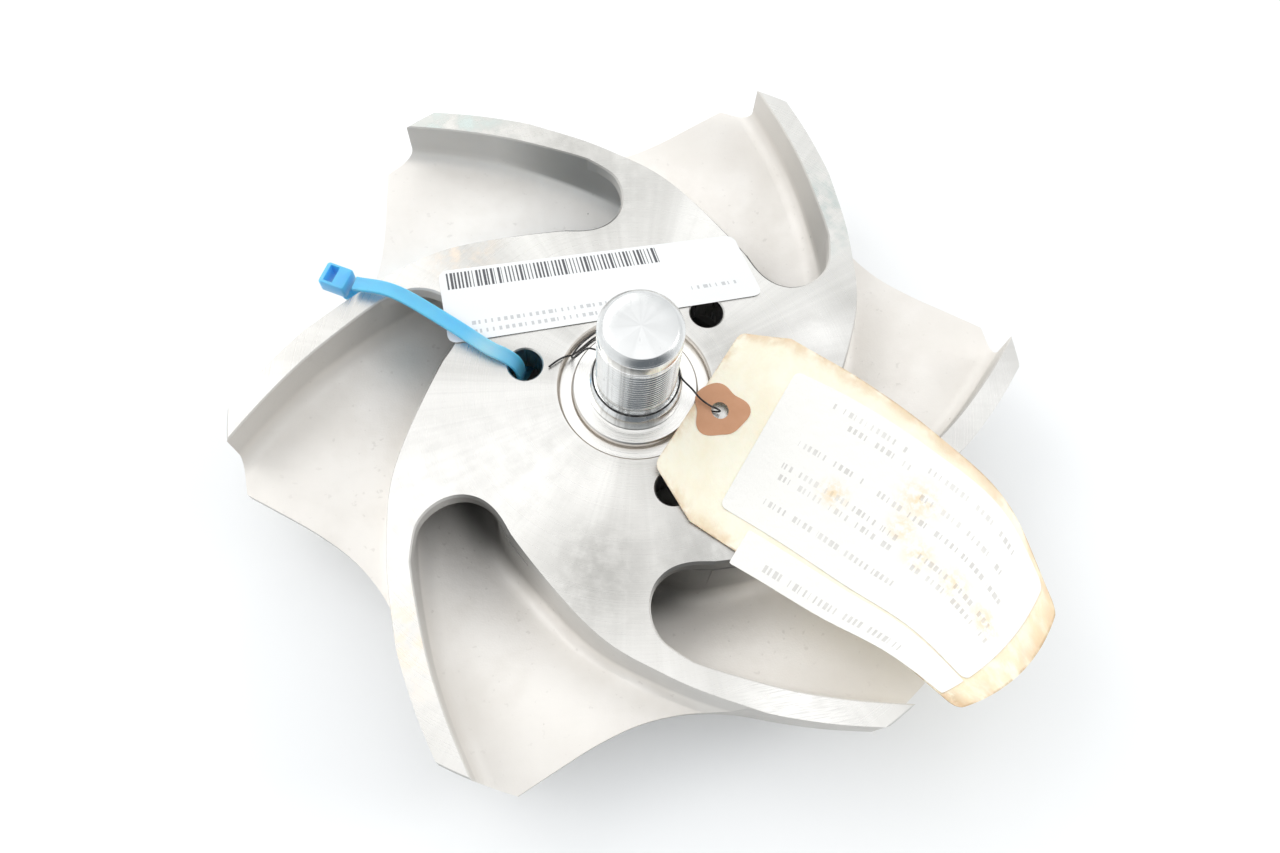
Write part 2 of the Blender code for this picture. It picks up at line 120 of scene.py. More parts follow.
# What is fastened to the impeller
LABEL_SIZE = (104, 26.5)
LABEL_CORNERS = [(-57, 23), (47.6, 26.5), (42, 50.5), (-58, 50)]
TAG_LEFT = [(1.2, -28.1), (8.9, -47), (25, -62.2), (42.3, -79.6), (58.4, -95), (71.4, -113.7)]
TAG_RIGHT = [(36.3, 12.1), (53.1, 8.5), (72.7, -9), (92, -31.2), (106.3, -56.9), (107.8, -91.7)]
TAG_STEPS = 24
TAG_SIZE = (70, 126)
PAPER_SIZE = (50, 86)
STRIP_SIZE = (9, 74)
TAG_END_BOW = 5  # millimetres
TAG_CURL = 9 * MM
TAG_CURL_START = 0.55
TAG_LIFT = 2.4 * MM
TAG_LIFT_END = 0.35
CARD_THICKNESS = 0.42 * MM
PAPER_THICKNESS = 0.14 * MM
CORNER_RADIUS = 3  # of the card and the label, in millimetres
# Rows of print: the place across the sheet and the two ends of the run along it, in millimetres
PAPER_ROWS = [(45, 15, 39), (44, 45, 76), (41, 22, 42), (35.5, 47, 76), (29, 12, 33), (28.7, 37, 79)]
PAPER_ROWS += [(20.5, 11, 49), (19.8, 56, 81), (16.8, 11, 49), (15.6, 56, 83), (8, 10, 55)]
STRIP_ROWS = [(3, 10, 57)]
# Stains on the paper: centre, radius and softness in millimetres
PAPER_STAINS = [((21, 28), 3, 4), ((34, 48), 4, 6), ((24, 48), 3, 4), ((20, 56), 3, 5)]
PAPER_STAINS += [((20, 68), 3, 5), ((20, 79), 3, 4)]
TAG_HOLE_CENTRE = (24.8, -13.2)
TAG_HOLE_RADIUS = 2.8 * MM
STRAP_SIZE = (4.8, 1.3)  # width and thickness in millimetres
STRAP_TOOTH = 0.28  # millimetres
TIE_ROUTE = [
    ((-84.6, 47.6, 3.4), (0.5, 0.85, 0)),
    ((-72, 42, 4.6), (0.6, 0.8, 0)),
    ((-57, 29.6, 4.4), (0.65, 0.76, 0)),
    ((-45, 19.2, 2.8), (0.6, 0.8, 0)),
    ((-40, 15.9, 2), (0.55, 0.84, 0)),
    ((-36.8, 13.8, 0), (0.5, 0.87, 0)),
    ((-35.6, 13, -4), (0.5, 0.87, 0)),
    ((-35.2, 13.4, -11), (0.4, 0.9, 0.3)),
    ((-34.5, 18, -20), (0, 0.4, 1)),
    ((-24, 30.5, -22.5), (0, 0, 1)),
    ((-8, 38, -23), (0, 0, 1)),
    ((11, 38.5, -24), (0, 0, 1)),
    ((25, 38, -25), (0, 0, 1)),
    ((27, 46, -26), (0, 0, 1)),
    ((14.5, 56.8, -25.6), (0, 0, 1)),
    ((-5, 61.8, -22.6), (0, 0, 1)),
    ((-27, 64.7, -20.5), (0, 0, 1)),
    ((-51.5, 62.7, -16), (0, 0, 1)),
    ((-70, 56.8, -12.5), (0, 0, 1)),
    ((-81, 51.9, -9), (0.25, 0.15, 0.95)),
    ((-87, 48.8, -5), (0.65, 0.4, 0.6)),
    ((-88.3, 48.3, -1.5), (0.84, 0.55, 0)),
]
TIE_HEAD_CENTRE = (-90.2, 50.4, 2.2)
TIE_HEAD_SIZE = (9 * MM, 8 * MM, 6.4 * MM)
TIE_HEAD_TURN = -30
WIRE_DIAMETER = 0.6 * MM
WIRE_TAIL = [(-26.4, 10.2, 0.8), (-23.9, 11.6, 1.1), (-21.4, 12.8, 0.9), (-19.4, 13.7, -0.4)]
WIRE_TAIL += [(-17.4, 14.9, -1.9), (-10.5, 19.6, -2), (-4.5, 21.8, -1.5), (-3, 22.9, -0.6)]
WIRE_TAIL += [(-8, 22, -1), (-14.8, 17.8, -1.2), (-18.4, 13.6, -0.6), (-17.6, 11.6, 2.6)]
WIRE_TAIL += [(-13.6, 11.8, 7.2)]
WIRE_WRAP_RADIUS = 13.7 * MM
WIRE_WRAP = (130, -370)
WIRE_WRAP_HEIGHTS = (7.2, 8.6)
WIRE_LEAD = [(16.6, -6.6, 7), (19, -9.2, 4.6), (21.6, -11.6, 3.8), (23.6, -12.9, 3.6)]
WIRE_LEAD += [(24.9, -13.3, 1.9), (23.4, -12.8, 0.9), (20.4, -11.4, 0.8)]
WIRE_POINT_SPACING = 0.4 * MM
WIRE_WRAP_POINTS = 18

# The light
FLOOR_REACH = 6
SOFTBOX_TARGET = (0, 0, 0.04)
SOFTBOX_COLOUR = (1, 0.985, 0.96)
SKY_STRENGTH = 1.17

# Patches of painted highlight and painted shade on the rear face, where it mirrors bright and dark
# surroundings: centre, radius and softness in millimetres, and strength
PAINTED_HIGHLIGHT_ZONES = [((-70, -30), 22, 30, 0.9), ((-40, -20), 22, 22, 0.7), ((34, 56), 12, 16, 0.6)]
PAINTED_HIGHLIGHT_ZONES += [((64, 10), 8, 12, 0.9), ((30, -103), 16, 14, 0.75), ((-20, -112), 30, 16, 0.25)]
PAINTED_HIGHLIGHT_ZONES += [((-60, -75), 20, 16, 0.5), ((112, -20), 12, 10, 0.55)]
PAINTED_SHADE_ZONES = [((-20, -58), 15, 15, 1.0), ((10, -62), 16, 18, 0.85), ((28, 14), 8, 12, 0.5)]
PAINTED_SHADE_ZONES += [((-8, 95), 18, 18, 0.7), ((76, 58), 9, 12, 0.3), ((2, -34), 8, 10, 0.4)]
PAINTED_SHADE_ZONES += [((76, 22), 8, 10, 0.3), ((-47, 58), 10, 14, 0.5), ((-123, 5), 4, 6, 0.5)]
PAINTED_SHADE_ZONES += [((-45, 104), 26, 20, 0.85), ((0, 78), 20, 20, 0.6)]
BRUSHED_PATCH = (30, -103)
# Patches of painted shade on the passage walls, listed the same way
PAINTED_WALL_SHADE = [((-12, 87), 20, 16, 0.9), ((68, 66), 26, 14, 0.5), ((107, -18), 20, 8, 0.9)]
PAINTED_WALL_SHADE += [((-55, 104), 22, 14, 0.4)]
# Outputs of the Texture Coordinate node: the object's space in metres, and a sheet's UV in millimetres
OBJECT_PLACE = 3
SHEET_PLACE = 2


def rear(depth):
    """The height of a point this far below the rear face."""
    return DEPTH - depth


def above_face(point):
    """A point in millimetres, its third value above the rear face, in metres."""
    return Vector(point) * MM + Vector((0, 0, rear(0)))


def turned(point, index):
    """A plan point in millimetres, turned clockwise to the vane with this index, in metres."""
    return Matrix.Rotation(math.radians(-360 / VANES * index), 2) @ Vector(point) * MM


def metres(pairs, base=0.0):
    """Pairs in millimetres, the second value counted from a base, in metres."""
    return [(first * MM, base + second * MM) for first, second in pairs]


def on_circle(radius, degrees, height=0.0):
    angle = math.radians(degrees)
    return Vector((radius * math.cos(angle), radius * math.sin(angle), height))


def circle(centre, radius, height, steps):
    """A ring of points round a plan point."""
    return [Vector((*centre, height)) + on_circle(radius, 360 * i / steps) for i in range(steps)]


def circles(levels, steps, centre=(0, 0)):
    """Rings of points round a plan point, from pairs of radius and height."""
    return [circle(centre, radius, height, steps) for radius, height in levels]


def smooth_curve(points, steps):
    """A Catmull-Rom curve through the points, with this many steps between two of them."""
    vectors = [Vector(point) for point in points]
    padded = [2 * vectors[0] - vectors[1], *vectors, 2 * vectors[-1] - vectors[-2]]
    curve = []
    for before, start, end, after in zip(padded, padded[1:], padded[2:], padded[3:]):
        for step in range(steps):
            t = step / steps
            slope_a = (end - before) / 2
            slope_b = (after - start) / 2
            along = start + slope_a * t
            along += (3 * (end - start) - 2 * slope_a - slope_b) * t**2
            along += (2 * (start - end) + slope_a + slope_b) * t**3
            curve.append(along)
    curve.append(vectors[-1])
    return curve


def evenly_spaced(points, spacing):
    """The points of a fine curve, thinned out to this spacing."""
    kept = [points[0]]
    for point in points[1:-1]:
        if (point - kept[-1]).length >= spacing:
            kept.append(point)
    return [*kept, points[-1]]


# Meshes


def loft(rings, capped=True, closed=True):
    """Points and faces through rings of equally many points."""
    count = len(rings[0])
    points = [tuple(point) for ring in rings for point in ring]
    faces = []
    for row in range(len(rings) - 1):
        for i in range(count if closed else count - 1):
            following = (i + 1) % count
            a, b = row * count, (row + 1) * count
            faces.append((a + i, a + following, b + following, b + i))
    if capped:
        faces += [tuple(range(count)), tuple(range(len(points) - count, len(points)))]
    return points, faces


def add_object(name, data):
    made = bpy.data.objects.new(name, data)
    bpy.context.scene.collection.objects.link(made)
    return made


def add_piece(name, points, faces, materials, slots=None, sharp=32):
    """A mesh object with outward normals. slots gives each face's material index."""
    mesh = bpy.data.meshes.new(name)
    mesh.from_pydata(points, [], faces)
    for finish in materials:
        mesh.materials.append(finish)
    if slots:
        mesh.polygons.foreach_set("material_index", slots)
    bm = bmesh.new()
    bm.from_mesh(mesh)
    bmesh.ops.remove_doubles(bm, verts=bm.verts, dist=WELD)
    bmesh.ops.recalc_face_normals(bm, faces=bm.faces)
    bm.to_mesh(mesh)
    bm.free()
    piece = add_object(name, mesh)
    shade(piece, sharp)
    return piece


def shade(piece, sharp):
    piece.data.shade_smooth()
    piece.data.set_sharp_from_angle(angle=math.radians(sharp))


def add_cutter(name, rings, finish):
    cutter = add_piece(name, *loft(rings), [finish])
    cutter.hide_render = True
    return cutter


def cut_away(piece, cutters, solver="MANIFOLD", sharp=32):
    """Cuts the cutters out of a piece for good, with their materials on its walls, and removes them."""
    for cutter in cutters:
        modifier = piece.modifiers.new(cutter.name, "BOOLEAN")
        modifier.operation = "DIFFERENCE"
        modifier.solver = solver
        modifier.material_mode = "TRANSFER"
        modifier.object = cutter
    shaped = piece.evaluated_get(bpy.context.evaluated_depsgraph_get())
    result = bpy.data.meshes.new_from_object(shaped)
    piece.modifiers.clear()
    piece.data = result
    for cutter in cutters:
        bpy.data.objects.remove(cutter, do_unlink=True)
    shade(piece, sharp)


def finished(piece, slot, *nodes):
    """Fixes a piece to the body and lets it stand for its CAD nodes, which it hides. The slot that names its
    finish is not used.
    """
    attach(piece, "root")
    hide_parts(*nodes)
    return piece


# Materials


def linked(socket, value):
    if isinstance(value, bpy.types.NodeSocket):
        socket.id_data.links.new(value, socket)
    else:
        socket.default_value = value


def source(tree, kind, output=0, **settings):
    """Adds a shader node that nothing feeds."""
    made = tree.nodes.new("ShaderNode" + kind)
    for key, value in settings.items():
        setattr(made, key, value)
    return made.outputs[output]


def node(kind, inputs, output=0, **settings):
    """Adds a shader node beside what feeds it. inputs maps socket names or numbers to values or sockets."""
    feeds = [value for value in inputs.values() if isinstance(value, bpy.types.NodeSocket)]
    made = source(feeds[0].id_data, kind, **settings).node
    for key, value in inputs.items():
        linked(made.inputs[key], value)
    return made.outputs[output]


def maths(operation, *values):
    return node("Math", dict(enumerate(values)), operation=operation)


def times(first, second):
    return maths("MULTIPLY", first, second)


def between(value, low, high, to_low=0.0, to_high=1.0):
    """A value mapped smoothly from low..high to to_low..to_high."""
    inputs = dict(enumerate((value, low, high, to_low, to_high)))
    return node("MapRange", inputs, interpolation_type="SMOOTHSTEP")


def spread(value, low, high):
    """A noise mapped to the range low..high."""
    return between(value, 0.3, 0.7, low, high)


def blended(share, first, second):
    """A mix of two colours, each a socket or a tuple of red, green and blue."""
    first, second = ((*colour, 1) if isinstance(colour, tuple) else colour for colour in (first, second))
    return node("Mix", {0: share, 6: first, 7: second}, output=2, data_type="RGBA")


def layered(colour, *layers):
    """A colour with others laid over it. Each layer is the share that it covers and its colour."""
    for share, over in layers:
        colour = blended(share, colour, over)
    return colour


def noise_value(vector, scale, detail=2.0, roughness=0.5):
    inputs = {"Vector": vector, "Scale": scale, "Detail": detail, "Roughness": roughness}
    return node("TexNoise", inputs)


def ring_noise(radius, scale, detail, roughness=0.5):
    inputs = {"W": radius, "Scale": scale, "Detail": detail, "Roughness": roughness}
    return node("TexNoise", inputs, noise_dimensions="1D")


def streaks(vector, scale, degrees=0.0, detail=3.0, roughness=0.5):
    """Noise drawn out along one direction, which is turned in the plan by some degrees."""
    inputs = {"Vector": vector, "Scale": scale, "Rotation": (0, 0, math.radians(degrees))}
    return noise_value(node("Mapping", inputs), 1.0, detail, roughness)


def part(place, number):
    """One coordinate of a place."""
    return node("SeparateXYZ", {0: place}, output=number)


def plan_in_mm(place):
    """The surface point in millimetres with its height left out."""
    return node("VectorMath", {0: place, 1: (1000, 1000, 0)}, operation="MULTIPLY")


def radius_of(plan):
    return node("VectorMath", {0: plan}, output=1, operation="LENGTH")


def outward_of(plan):
    return node("VectorMath", {0: plan}, operation="NORMALIZE")


def spot(place, centre, radius, softness):
    """1 inside a round patch of the surface and 0 outside, in millimetres of the plan."""
    far = node("VectorMath", {0: place, 1: (*centre, 0)}, output=1, operation="DISTANCE")
    return between(far, radius + softness, radius - softness)


def zones(plan, listed):
    """The share of painted bright or dark patches at a place."""
    total = 0.0
    for centre, radius, softness, share in listed:
        total = maths("MAXIMUM", total, times(spot(plan, centre, radius, softness), share))
    return total


def in_band(value, low, high, soft=0.12):
    """1 between low and high and 0 outside, with soft edges."""
    return times(between(value, low - soft, low + soft), between(value, high + soft, high - soft))


def principled(made):
    return made.node_tree.nodes["Principled BSDF"].inputs


def new_material(name, place_output=OBJECT_PLACE, **constants):
    """A material, and the place on the surface that its pattern is drawn from."""
    made = bpy.data.materials.new(name)
    made.use_nodes = True
    for key, value in constants.items():
        principled(made)[key.replace("_", " ")].default_value = value
    return made, source(made.node_tree, "TexCoord", output=place_output)


def surfaced(made, colour, roughness, reliefs=()):
    """Finishes a material. reliefs pairs each pattern of its relief with a depth in millimetres."""
    linked(principled(made)["Base Color"], colour)
    linked(principled(made)["Roughness"], roughness)
    normal = None
    for height, depth in reliefs:
        below = {"Normal": normal} if normal else {}
        normal = node("Bump", {"Height": height, "Distance": depth * MM, **below})
    if normal:
        linked(principled(made)["Normal"], normal)
    return made


def turned_about_axis(made):
    """Draws a material's highlights out round the shaft axis."""
    tangent = source(made.node_tree, "Tangent", direction_type="RADIAL", axis="Z")
    linked(principled(made)["Tangent"], tangent)
    return made


def turned_face():
    """The lathe-turned rear face: fine rings, painted rays of reflected light and shade round the axis,
    painted highlight and shade patches, scratches and stains.
    """
    made, place = new_material("turned_steel", Metallic=1.0, Anisotropic=0.7)
    plan = plan_in_mm(place)
    radius = radius_of(plan)
    rings = ring_noise(radius, 2.4, 3.0, 0.7)
    broad_rings = ring_noise(radius, 0.11, 2.0)
    # Painted reflection: light and dark rays round the axis, as the turned face mirrors its surroundings
    painted_reflection_rays = noise_value(outward_of(plan), 2.6, 6.0, 0.66)
    painted_fine_reflection_rays = noise_value(outward_of(plan), 34, 3.0, 0.6)
    cloud = noise_value(plan, 0.022, 4.0, 0.6)
    mottle = noise_value(plan, 0.16, 4.0, 0.6)
    scratches = between(streaks(plan, (0.035, 1.6, 1), 24), 0.67, 0.73)
    crossing = between(streaks(plan, (0.05, 2.2, 1), -58), 0.68, 0.73)
    scratch = times(maths("MAXIMUM", scratches, crossing), between(cloud, 0.42, 0.6))
    uneven = between(mottle, 0.3, 0.62, 0.55, 1.0)
    cool = maths("MAXIMUM", spot(plan, (76, 56), 12, 16), spot(plan, (-44, 112), 14, 12))
    warm = maths("MAXIMUM", spot(plan, (-78, -68), 12, 14), spot(plan, (-50, 58), 8, 10))
    brushed = between(streaks(plan, (0.12, 2.6, 1), 62), 0.45, 0.65)
    brushed = times(brushed, spot(plan, BRUSHED_PATCH, 18, 8))
    # The upright walls of the recess and boss, which get painted shade below
    walls = maths("ADD", in_band(radius, 19.7, 20.5, 0.2), in_band(radius, 24.2, 25, 0.2))
    colour = layered(
        # Painted reflection rays, light and dark round the axis
        blended(between(painted_reflection_rays, 0.36, 0.64), (0.62, 0.608, 0.582), (0.76, 0.748, 0.72)),
        (between(painted_fine_reflection_rays, 0.45, 0.75, 0.0, 0.22), (0.56, 0.55, 0.53)),
        # Painted highlights and painted shade, where the face mirrors bright and dark surroundings
        (times(zones(plan, PAINTED_HIGHLIGHT_ZONES), uneven), (0.92, 0.905, 0.875)),
        (times(zones(plan, PAINTED_SHADE_ZONES), uneven), (0.42, 0.412, 0.392)),
        # Painted light on the recess and boss, where the stud's shade falls
        (times(spot(plan, (0, 0), 24.5, 2), 0.9), (0.97, 0.955, 0.925)),
        (times(cool, between(mottle, 0.35, 0.7)), (0.5, 0.56, 0.54)),
        (times(warm, between(mottle, 0.4, 0.65)), (0.8, 0.69, 0.58)),
        (times(scratch, 0.15), (0.5, 0.49, 0.47)),
        (times(brushed, 0.5), (0.6, 0.59, 0.57)),
        # Painted shade on the upright walls of the recess and boss
        (times(walls, 0.6), (0.52, 0.46, 0.4)),
    )
    roughness = maths("ADD", spread(rings, 0.26, 0.38), times(scratch, 0.08))
    reliefs = [(rings, 0.008), (broad_rings, 0.03), (maths("SUBTRACT", 1, scratch), 0.006)]
    return turned_about_axis(surfaced(made, colour, roughness, reliefs))


def height_above_floor(radius, height):
    """How far a point lies above the shroud's inner surface. The radius and the result are in millimetres."""
    inward = maths("SUBTRACT", IMPELLER_RADIUS / MM, radius)
    share = maths("DIVIDE", inward, (IMPELLER_RADIUS - EYE_RADIUS) / MM)
    drop = maths("POWER", maths("MAXIMUM", share, 0), FLOOR_POWER)
    floor = maths("MULTIPLY_ADD", drop, -FLOOR_DROP / MM, rear(OUTLET_DEPTH) / MM)
    return maths("SUBTRACT", maths("DIVIDE", height, MM), floor)


def blasted_cast():
    """The blasted walls of the passages: fine grain, shallow dents, pits and warm clouds, with painted shade
    on the walls and far inside the tunnels.
    """
    made, place = new_material("blasted_cast_steel", Metallic=0.3)
    plan = plan_in_mm(place)
    radius = radius_of(plan)
    above_floor = height_above_floor(radius, part(place, 2))
    grain = noise_value(place, 1700, 3.0, 0.6)
    dents = noise_value(place, 210, 3.0)
    cloud = noise_value(place, 38, 4.0, 0.6)
    pits = node("TexVoronoi", {"Vector": place, "Scale": 240}, feature="F1")
    pit = times(between(pits, 0.11, 0.05), between(noise_value(place, 90, 1.0), 0.66, 0.72))
    specks = between(noise_value(place, 420, 2.0), 0.66, 0.74)
    colour = layered(
        blended(between(cloud, 0.35, 0.68), (0.94, 0.912, 0.875), (0.87, 0.838, 0.795)),
        # Painted bluish shade near the end of one passage's opening
        (times(spot(plan, (-72, 32), 8, 10), 0.45), (0.5, 0.58, 0.6)),
        (times(specks, 0.2), (0.45, 0.42, 0.38)),
        (pit, (0.45, 0.43, 0.4)),
        # Painted shade on the upper part of the walls
        (times(between(above_floor, 3.4, 7.4), 0.52), (0.45, 0.44, 0.42)),
        # Painted shade on the walls, in the listed patches
        (times(between(above_floor, 2.4, 4.6), zones(plan, PAINTED_WALL_SHADE)), (0.3, 0.295, 0.28)),
        (between(radius, 86, 116, 0.0, 0.6), (0.73, 0.7, 0.66)),
        # Painted shade far inside the tunnels, by distance from the axis only, so it also darkens the
        # shroud's outside round the eye ring
        (times(between(radius, 72, 61), 0.95), (0.14, 0.137, 0.13)),
    )
    return surfaced(made, colour, spread(cloud, 0.56, 0.68), [(dents, 0.12), (grain, 0.05), (pit, -0.2)])


def ground_edge():
    """The shroud's scalloped edge and the rim: ground along, slightly dull."""
    made, place = new_material("ground_edge_steel", Metallic=0.95)
    marks = streaks(place, (260, 260, 4200))
    colour = blended(noise_value(place, 60, 3.0), (0.62, 0.6, 0.57), (0.48, 0.46, 0.43))
    return surfaced(made, colour, spread(marks, 0.3, 0.46), [(marks, 0.03)])


def bright_turned():
    """The stud and collar: fine turning marks round the axis, with painted reflection streaks up the sides
    and a darker end face with painted reflection rays.
    """
    made, place = new_material("bright_turned_steel", Metallic=1.0, Anisotropic=0.45)
    plan = plan_in_mm(place)
    marks = streaks(place, (60, 60, 5200), roughness=0.65)
    nicks = between(streaks(place, (900, 220, 300), 35), 0.66, 0.72)
    facing = ring_noise(radius_of(plan), 3.5, 3.0)
    cloud = noise_value(place, 130, 4.0, 0.6)
    end_face = between(part(place, 2), rear(-STUD_HEIGHT + 3 * MM), rear(-STUD_HEIGHT + 0.6 * MM))
    # Painted reflection streaks up the stud's sides
    painted_reflection_streaks = between(noise_value(outward_of(plan), 7.5, 4.0, 0.7), 0.46, 0.62, 0.0, 0.42)
    painted_reflection_rays = between(noise_value(outward_of(plan), 1.3, 2.0), 0.35, 0.65)
    colour = layered(
        blended(cloud, (0.96, 0.965, 0.96), (0.86, 0.865, 0.86)),
        (times(painted_reflection_streaks, maths("SUBTRACT", 1, end_face)), (0.46, 0.45, 0.44)),
        # Painted reflection on the end face: darker, with light and dark rays round the axis
        (times(end_face, 0.9), blended(painted_reflection_rays, (0.79, 0.795, 0.79), (0.7, 0.705, 0.7))),
        (times(nicks, 0.4), (0.5, 0.5, 0.5)),
    )
    reliefs = [(marks, 0.02), (facing, 0.02), (cloud, 0.05)]
    return turned_about_axis(surfaced(made, colour, spread(cloud, 0.16, 0.28), reliefs))


def blue_nylon():
    """Translucent moulded nylon, with a painted highlight where the strap runs to a hole in the rear face."""
    made, place = new_material(
        "blue_nylon",
        Subsurface_Weight=0.6,
        Subsurface_Scale=0.004,
        Subsurface_Radius=(0.25, 0.7, 1.0),
        Transmission_Weight=0.12,
        Coat_Weight=0.2,
    )
    cloud = noise_value(place, 160, 3.0)
    colour = blended(cloud, (0.1, 0.5, 0.95), (0.16, 0.6, 0.98))
    # Painted highlight on the strap near the hole
    painted_highlight = times(spot(plan_in_mm(place), (-45, 18.5), 5, 5), 0.45)
    colour = blended(painted_highlight, colour, (0.62, 0.86, 0.98))
    return surfaced(made, colour, spread(cloud, 0.3, 0.42), [(noise_value(place, 1500, 2.0), 0.015)])


def black_wire():
    made, place = new_material("black_wire", Metallic=0.4)
    worn = noise_value(place, 700, 3.0)
    colour = blended(between(worn, 0.5, 0.65), (0.02, 0.02, 0.022), (0.1, 0.095, 0.09))
    return surfaced(made, colour, spread(worn, 0.35, 0.55), [(worn, 0.02)])


def printed_marks(along, pitch, seed):
    """Bars of chance widths, one to a pitch: 1 on a bar. along runs over the bars, in millimetres."""
    steps = maths("DIVIDE", along, pitch)
    cell = maths("ADD", maths("FLOOR", steps), seed)
    draw = node("TexWhiteNoise", {"W": cell}, noise_dimensions="1D")
    return maths("LESS_THAN", maths("FRACT", steps), maths("MULTIPLY_ADD", draw, 0.6, 0.16))


def label_paper():
    """A white label with a row of plain upright bars and faint rules."""
    made, place = new_material("label_paper", SHEET_PLACE, Coat_Weight=0.15)
    across, up = part(place, 0), part(place, 1)
    bars = times(printed_marks(across, 1.25, 3), in_band(across, 2.2, 76, 0.05))
    bars = times(bars, in_band(up, 19.2, 25.3, 0.05))
    rows = times(maths("ADD", in_band(up, 5.4, 6.8), in_band(up, 2.2, 3.6)), in_band(across, 8, 56))
    side = times(in_band(up, 6.2, 7.6), in_band(across, 82, 98))
    dashes = times(printed_marks(across, 2.1, 21), maths("ADD", rows, side))
    fibre = noise_value(place, 3.0, 3.0)
    colour = layered(
        blended(fibre, (0.86, 0.87, 0.87), (0.82, 0.83, 0.83)),
        (times(bars, 0.95), (0.04, 0.04, 0.05)),
        (times(dashes, 0.5), (0.25, 0.26, 0.28)),
    )
    return surfaced(made, colour, spread(fibre, 0.42, 0.55), [(fibre, 0.02)])


def manila_card():
    """Soft cream card, worn at its edges and stained brown in places."""
    made, place = new_material("manila_card", SHEET_PLACE, Subsurface_Weight=0.1, Subsurface_Scale=0.001)
    fibre = streaks(place, (1.2, 3.4, 1), 20, 4.0, 0.6)
    cloud = noise_value(place, 0.05, 4.0, 0.65)
    blotch = noise_value(place, 0.11, 5.0, 0.7)
    edge = source(made.node_tree, "Attribute", output=2, attribute_name="edge")
    ragged = maths("ADD", edge, times(maths("SUBTRACT", blotch, 0.5), 6))
    stain = times(between(ragged, 5.5, 0.0), between(cloud, 0.4, 0.6))
    rim = times(between(edge, 0.7, 0.1), between(blotch, 0.4, 0.6))
    # Darker, patchy brown towards the far end of the card
    darker_far_end = times(between(part(place, 1), 104, 122), between(blotch, 0.36, 0.6))
    corner = times(spot(place, (2, 123), 3, 4), between(blotch, 0.35, 0.55))
    colour = layered(
        blended(between(cloud, 0.3, 0.7), (0.955, 0.905, 0.765), (0.92, 0.84, 0.665)),
        (times(darker_far_end, 0.5), (0.84, 0.66, 0.38)),
        (times(stain, 0.6), (0.68, 0.47, 0.27)),
        (times(rim, 0.6), (0.42, 0.27, 0.15)),
        (times(corner, 0.7), (0.5, 0.33, 0.18)),
    )
    return surfaced(made, colour, spread(fibre, 0.62, 0.8), [(fibre, 0.04), (blotch, 0.3)])


def brown_patch():
    made, place = new_material("brown_patch")
    fibre = noise_value(place, 900, 4.0, 0.6)
    colour = blended(noise_value(place, 160, 3.0), (0.64, 0.34, 0.2), (0.52, 0.26, 0.14))
    return surfaced(made, colour, spread(fibre, 0.62, 0.8), [(fibre, 0.05)])


def typed_paper(name, rows, stains):
    """Crinkled paper with faint rows of plain dashes, where the real one is typed, and with brown stains."""
    made, place = new_material(name, SHEET_PLACE)
    across, up = part(place, 0), part(place, 1)
    fibre = noise_value(place, 2.4, 4.0)
    cloud = noise_value(place, 0.06, 4.0, 0.6)
    wrinkles = noise_value(place, 0.35, 5.0, 0.7)
    typed = 0.0
    for number, (middle, start, end) in enumerate(rows):
        words = maths("FRACT", maths("MULTIPLY_ADD", up, 0.11, 0.37 * number))
        dashes = times(printed_marks(up, 1.7, 7 + 5 * number), maths("LESS_THAN", words, 0.82))
        line = times(in_band(across, middle - 0.95, middle + 0.95), in_band(up, start, end))
        typed = maths("ADD", typed, times(line, dashes))
    typed = times(typed, between(cloud, 0.3, 0.6, 0.16, 0.36))
    colour = blended(fibre, (0.91, 0.9, 0.87), (0.87, 0.855, 0.815))
    if stains:
        stain = 0.0
        for centre, radius, softness in stains:
            stain = maths("MAXIMUM", stain, spot(place, centre, radius, softness))
        stain = times(stain, between(wrinkles, 0.38, 0.62))
        colour = blended(times(stain, 0.75), colour, (0.86, 0.62, 0.32))
    colour = blended(typed, colour, (0.2, 0.18, 0.17))
    return surfaced(made, colour, spread(fibre, 0.5, 0.66), [(wrinkles, 0.25), (fibre, 0.02)])


def pale_floor():
    made, place = new_material("pale_floor")
    cloud = noise_value(place, 5, 3.0)
    colour = blended(cloud, (0.93, 0.938, 0.944), (0.91, 0.92, 0.928))
    return surfaced(made, colour, spread(cloud, 0.5, 0.6))


# The casting


def floor_height(radius):
    """The shroud's inner surface."""
    share = (IMPELLER_RADIUS - radius) / (IMPELLER_RADIUS - EYE_RADIUS)
    return rear(OUTLET_DEPTH + FLOOR_DROP * max(0, share) ** FLOOR_POWER)


def front_height(radius):
    """The shroud's outer surface, on the suction side."""
    share = (IMPELLER_RADIUS - radius) / (IMPELLER_RADIUS - EYE_RING_RADIUS)
    drop = DEPTH - EYE_RING_HEIGHT - RIM_DEPTH
    return rear(RIM_DEPTH + drop * share**FRONT_POWER)


